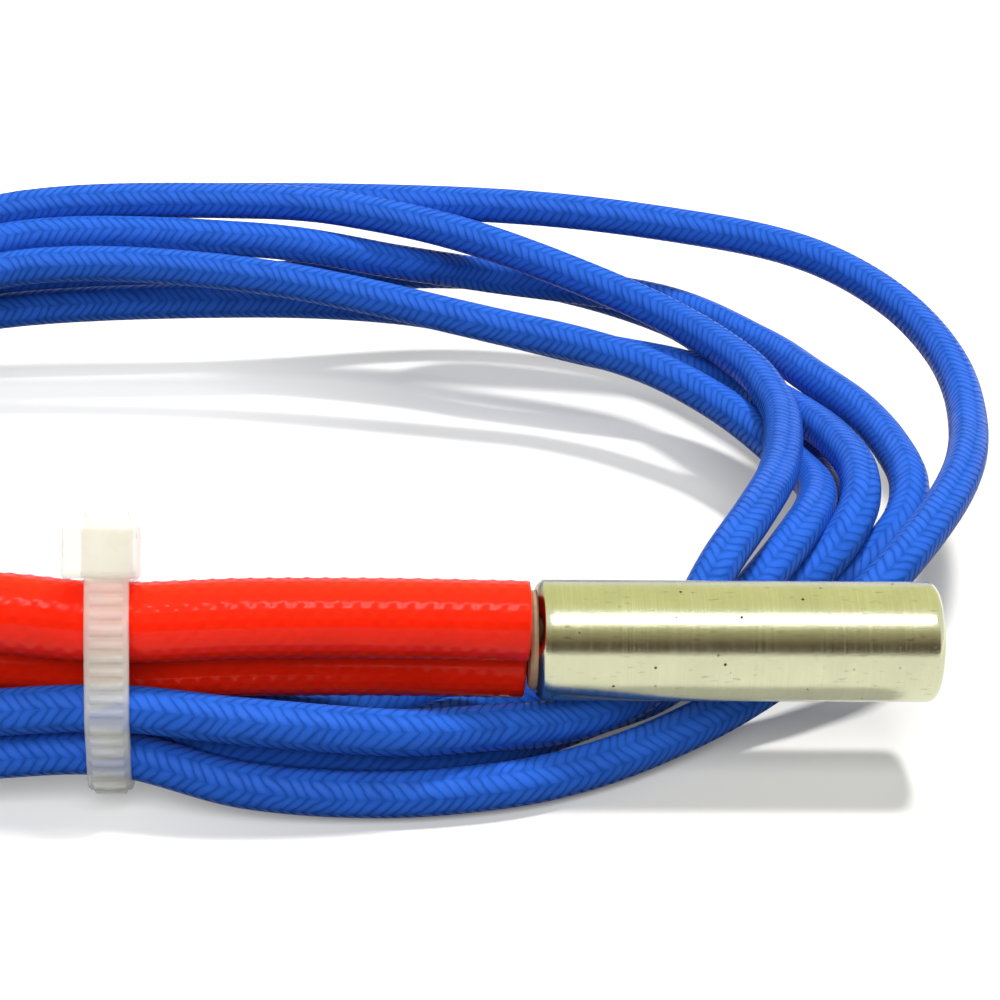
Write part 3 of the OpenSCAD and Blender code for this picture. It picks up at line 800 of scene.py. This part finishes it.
class HEATER_OT_sleeves(bpy.types.Operator):
    """Add the two coated sleeves over the leads"""

    bl_idname = "heater.sleeves"
    bl_label = "Sleeves"

    def execute(self, context):
        sleeves = context.scene.heater_sleeves
        finish = sleeve_finish(sleeves.red)
        carriers, pitch, sides = 14, 0.9, 112
        spacing, lining = 0.00015, 14
        outer = sleeves.diameter / 2
        inner = outer - sleeves.wall
        lip = (inner + outer) / 2
        for side, sign in (("front", 1), ("rear", -1)):
            route = even_route(smooth_route(sleeve_route(sign), 12), spacing)
            along = distances(route)
            last = len(route) - 1

            def ridged(i):
                rise = along[i] / MM / pitch
                return lambda a: outer - sleeves.ridge * (
                    1 - braid_height(a * carriers + rise, a * carriers - rise))

            # From a short way inside one end, over the outside, to a short way inside the other
            rings = [(lining, lambda a: inner), (0, lambda a: inner), (0, lambda a: lip)]
            rings += [(0, lambda a: outer - sleeves.ridge)]
            rings += [(i, ridged(i)) for i in range(1, last)]
            rings += [(last, lambda a: outer - sleeves.ridge), (last, lambda a: lip)]
            rings += [(last, lambda a: inner), (last - lining, lambda a: inner)]
            sleeve = sweep("sleeve_cover_" + side, route, rings, sides)
            finish.put_on(sleeve)
            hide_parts("sleeve_" + side)
        return {"FINISHED"}


class HEATER_OT_barrel(bpy.types.Operator):
    """Add the steel barrel and finish the pieces inside it"""

    bl_idname = "heater.barrel"
    bl_label = "Barrel"

    def execute(self, context):
        barrel = context.scene.heater_barrel
        radius = barrel.diameter / 2
        bore = radius - barrel.wall
        mouth = MOUTH_X * MM
        tip = mouth + barrel.length
        edge, chamfer = barrel.edge, barrel.chamfer
        bore_shown, soft = 0.0008, 0.00004
        rows, arc = 40, 10
        # Rim at the lead end, with softened corners on its chamfer
        profile = [(mouth + bore_shown, bore), (mouth, bore), (mouth, radius - chamfer - soft)]
        profile += [(mouth + soft / 2, radius - chamfer), (mouth + chamfer - soft * 0.75, radius - soft)]
        profile += [(mouth + chamfer + soft, radius)]
        # Outside and the rounded edge at the tip
        run = tip - edge - (mouth + chamfer)
        profile += [(mouth + chamfer + run * k / rows, radius) for k in range(1, rows)]
        profile += [(tip - edge + edge * math.sin(t), radius - edge + edge * math.cos(t))
                    for t in [math.pi / 2 * k / arc for k in range(arc + 1)]]
        # Groove of the weld around the end disc, and the disc
        groove = ((0.02, 0), (-0.06, 0.03), (-0.18, 0))
        profile += [(tip - depth * MM, bore + out * MM) for out, depth in groove]
        profile += [(tip, bore * s) for s in (0.75, 0.5, 0.25, 0.02, 0.0)]
        shell = lathe("barrel_shell", profile, 192)
        flip_out(shell)
        steel_finish(barrel.steel).put_on(shell)
        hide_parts("sheath", "end_disc")
        self.inside(barrel)
        return {"FINISHED"}

    def inside(self, barrel):
        """Gives the carried CAD pieces in and behind the barrel their finishes."""
        seal = barrel.seal
        finishes = {
            # The seal's finish carries painted shade and a painted red reflection from the sleeve's end
            ("end_seal",): grained_finish("cement_seal_painted_shade", [c * 0.7 for c in seal], seal, 0.85, 0.00004, 1600),
            ("tip_spacer", "ceramic_core"):
                grained_finish("fired_ceramic", (0.70, 0.66, 0.56), (0.86, 0.83, 0.75), 0.55, 0.00001, 1200),
            ("insulation_fill",):
                grained_finish("packed_magnesia", (0.66, 0.65, 0.60), (0.85, 0.84, 0.80), 0.92, 0.00003, 2600),
            ("heating_coil",):
                grained_finish("resistance_wire", (0.20, 0.19, 0.17), (0.42, 0.41, 0.38), 0.40, 0.000006, 2400,
                               1.0),
            ("terminal_pin_front", "terminal_pin_rear", "crimp_front", "crimp_rear"):
                grained_finish("nickel", (0.50, 0.48, 0.43), (0.68, 0.66, 0.60), 0.34, 0.000008, 1800, 1.0),
            ("conductor_front", "conductor_rear"):
                grained_finish("stranded_copper", (0.45, 0.44, 0.43), (0.66, 0.65, 0.63), 0.36, 0.00002, 2200,
                               1.0),
        }
        for nodes, finish in finishes.items():
            for node in nodes:
                finish.put_on(bpy.data.objects[node])


class HEATER_OT_tie(bpy.types.Operator):
    """Add the ribbed cable tie with its head"""

    bl_idname = "heater.tie"
    bl_label = "Cable tie"

    def execute(self, context):
        tie = context.scene.heater_tie
        finish = nylon_finish(tie.nylon)
        strap = self.strap(tie)
        head = self.head(tie)
        for piece in (strap, head):
            finish.put_on(piece)
        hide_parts("cable_tie")
        return {"FINISHED"}

    def circles(self):
        """What the strap goes around, seen along X: y, z and radius in millimetres."""
        front, rear = (Vector(PAIR_ROUTE[3]) + pair_side(sign) for sign in (1, -1))
        out = [(front.y, front.z, HELD_SLEEVE), (rear.y, rear.z, HELD_SLEEVE)]
        for angle, gap in STRAND_FAN:
            a, reach = math.radians(angle), BARE_SLEEVE + gap
            out.append((rear.y + reach * math.cos(a), rear.z + reach * math.sin(a), HELD_STRAND))
        return out

    def line(self, tie):
        """Inner line of the strap as places and outward directions, and the head's foot and directions."""
        circles = self.circles()
        places = []
        for k in range(STRAP_STEPS + 1):
            a = math.radians(STRAP_START - STRAP_TURN * k / STRAP_STEPS)
            out = Vector((0, math.cos(a), math.sin(a)))
            y, z, r = max(circles, key=lambda c: c[0] * out.y + c[1] * out.z + c[2])
            places.append((Vector((TIE_X, y, z)) * MM + out * r * MM, out))
        foot, out = places[-1]
        rise = Vector((0, out.z, -out.y))
        places.append((foot + rise * (HEAD_FOOT * MM + tie.head[2] + tie.stub), out))
        return places, foot + rise * HEAD_FOOT * MM, rise, out

    def strap(self, tie):
        """Strap with softened edges and with ribs between two plain margins."""
        places = self.line(tie)[0]
        points = [p for p, _ in places]
        total = distances(points)[-1]
        ribs_end = total - tie.head[2] - tie.stub - 0.0002
        half, thick = tie.strap_width / 2, tie.strap_thickness
        soft, margin, slope, spacing = 0.00010, 0.00025, 0.00006, 0.00006
        # Points of the section as place across, height and share of the ribs
        section = [(-half + soft, 0, 0), (-half, soft, 0), (-half, thick - soft, 0), (-half + soft, thick, 0),
                   (-half + margin, thick, 0), (-half + margin + slope, thick, 1), (0, thick, 1),
                   (half - margin - slope, thick, 1), (half - margin, thick, 0), (half - soft, thick, 0),
                   (half, thick - soft, 0), (half, soft, 0), (half - soft, 0, 0)]
        count = round(total / spacing)
        verts = []
        for s, i, t in even_steps(points, count):
            place = points[i].lerp(points[i + 1], t)
            out = places[i][1].lerp(places[i + 1][1], t).normalized()
            wave = math.sin(2 * math.pi * s / tie.rib_pitch)
            on = tie.rib_pitch < s < ribs_end
            rib = tie.rib_height * min(1.0, max(0.0, 0.5 + 1.4 * wave)) if on else 0.0
            for across, depth, raised in section:
                verts.append(place + Vector((across, 0, 0)) + out * (depth + rib * raised))
        n = len(section)
        faces = [(k * n + j, k * n + (j + 1) % n, (k + 1) * n + (j + 1) % n, (k + 1) * n + j)
                 for k in range(count) for j in range(n)]
        faces += [tuple(range(n)), tuple(count * n + j for j in reversed(range(n)))]
        strap = new_piece("tie_strap", verts, faces)
        flip_out(strap)
        return strap

    def head(self, tie):
        """Block with rounded edges and a slot that the strap goes through."""
        _, foot, rise, out = self.line(tie)
        width, depth, height = tie.head
        wall, gap, soft, slant, shift = 0.0006, 0.00012, 0.0002, 0.0007, 0.0003
        front = tie.strap_thickness + gap + wall
        back = front - depth
        mesh = bmesh.new()
        outline = [(front, soft), (front - soft, 0), (back, 0), (back, height * 0.72),
                   (back + slant, height), (front - soft, height), (front, height - soft)]
        left = [mesh.verts.new((-width / 2 - shift, y, z)) for y, z in outline]
        right = [mesh.verts.new((width / 2 - shift, y, z)) for y, z in outline]
        n = len(outline)
        mesh.faces.new(left)
        mesh.faces.new(list(reversed(right)))
        for k in range(n):
            mesh.faces.new((left[(k + 1) % n], left[k], right[k], right[(k + 1) % n]))
        bmesh.ops.recalc_face_normals(mesh, faces=mesh.faces)
        bmesh.ops.bevel(mesh, geom=list(mesh.edges), offset=0.00014, segments=3, affect="EDGES", profile=0.5)
        data = bpy.data.meshes.new("tie_head")
        mesh.to_mesh(data)
        mesh.free()
        head = add_object("tie_head", data)
        cut = bpy.data.meshes.new("slot_cut")
        x = tie.strap_width / 2 + gap
        y0, y1 = -gap, tie.strap_thickness + gap
        past = 0.001
        corners = [(*corner, z) for z in (-past, height + past)
                   for corner in ((-x, y0), (x, y0), (x, y1), (-x, y1))]
        sides = [(k, (k + 1) % 4, (k + 1) % 4 + 4, k + 4) for k in range(4)]
        cut.from_pydata(corners, [], [(3, 2, 1, 0), (4, 5, 6, 7), *sides])
        cutter = add_object("slot_cut", cut)
        slot = head.modifiers.new("slot", "BOOLEAN")
        slot.operation = "DIFFERENCE"
        slot.solver = "EXACT"
        slot.object = cutter
        made = bpy.data.meshes.new_from_object(head.evaluated_get(bpy.context.evaluated_depsgraph_get()))
        head.modifiers.clear()
        head.data = made
        bpy.data.objects.remove(cutter)
        turn = Matrix((Vector((1, 0, 0)), out, rise)).transposed().to_4x4()
        made.transform(Matrix.Translation(foot) @ turn)
        made.update()
        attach(head, "root")
        return head


class HEATER_PT_panel(bpy.types.Panel):
    """Lists the settings and the steps that build the heater"""

    bl_idname = "HEATER_PT_panel"
    bl_label = "Cartridge heater"
    bl_space_type = "VIEW_3D"
    bl_region_type = "UI"
    bl_category = "Heater"

    def draw(self, context):
        for group, operator in STEPS:
            box = self.layout.box()
            settings = getattr(context.scene, group)
            for name in settings.bl_rna.properties.keys():
                if name not in ("rna_type", "name"):
                    box.prop(settings, name)
            box.operator(operator)


STEPS = (
    ("heater_stage", "heater.stage"),
    ("heater_leads", "heater.leads"),
    ("heater_sleeves", "heater.sleeves"),
    ("heater_barrel", "heater.barrel"),
    ("heater_tie", "heater.tie"),
)
GROUPS = {
    "heater_stage": HeaterStage,
    "heater_leads": HeaterLeads,
    "heater_sleeves": HeaterSleeves,
    "heater_barrel": HeaterBarrel,
    "heater_tie": HeaterTie,
}
CLASSES = (*GROUPS.values(), HEATER_OT_stage, HEATER_OT_leads, HEATER_OT_sleeves, HEATER_OT_barrel,
           HEATER_OT_tie, HEATER_PT_panel)


def register():
    for cls in CLASSES:
        bpy.utils.register_class(cls)
    for name, group in GROUPS.items():
        setattr(bpy.types.Scene, name, bpy.props.PointerProperty(type=group))


def unregister():
    for name in GROUPS:
        delattr(bpy.types.Scene, name)
    for cls in reversed(CLASSES):
        bpy.utils.unregister_class(cls)


def main():
    register()
    bpy.ops.heater.stage()
    bpy.ops.heater.leads()
    bpy.ops.heater.sleeves()
    bpy.ops.heater.barrel()
    bpy.ops.heater.tie()


if __name__ == "__main__":
    main()
